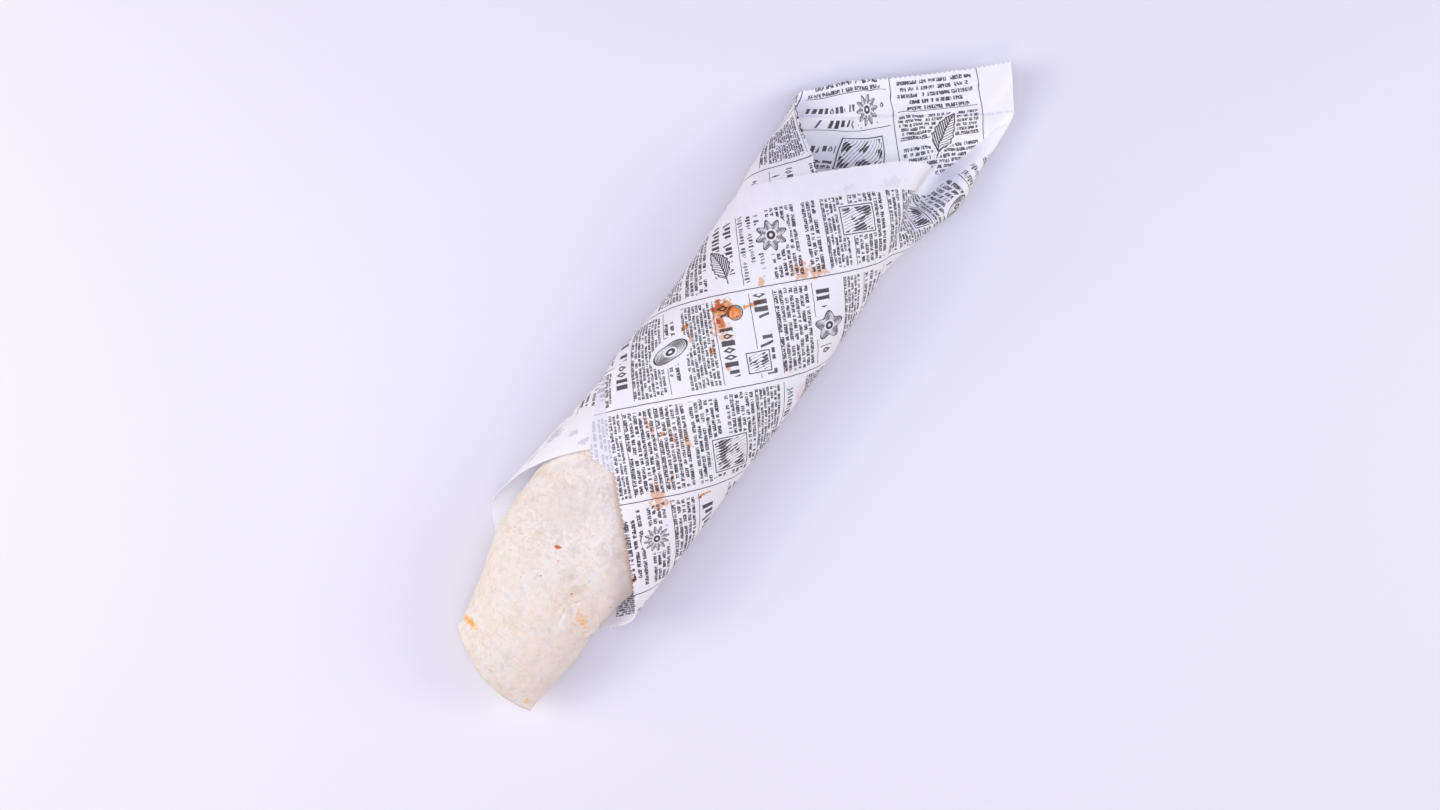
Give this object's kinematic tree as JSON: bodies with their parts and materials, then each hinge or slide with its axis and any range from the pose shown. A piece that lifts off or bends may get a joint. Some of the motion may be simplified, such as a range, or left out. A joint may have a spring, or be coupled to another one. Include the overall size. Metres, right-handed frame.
{
  "type": "gyro wrap",
  "caption": "Flatbread roll closed at one end, wrapped in a printed greaseproof paper sheet rolled cornerwise, with an open paper mouth at the other end.",
  "frame": {"origin": "middle of the underside of the whole wrap, on the table", "axes": "+X along the roll from the bare bread end to the open paper mouth, +Y to the left seen from above with +X up, +Z up"},
  "size_m": [0.307, 0.0816, 0.0374],
  "materials": {
    "printed_paper": "smooth matte white greaseproof paper with small dark grey newsprint-like print",
    "flatbread": "soft matte baked dough, cream with faint tan and grey mottling"
  },
  "bodies": {
    "root": {"paper_sheet": "printed_paper", "flatbread_roll": "flatbread"}
  },
  "joints": []
}
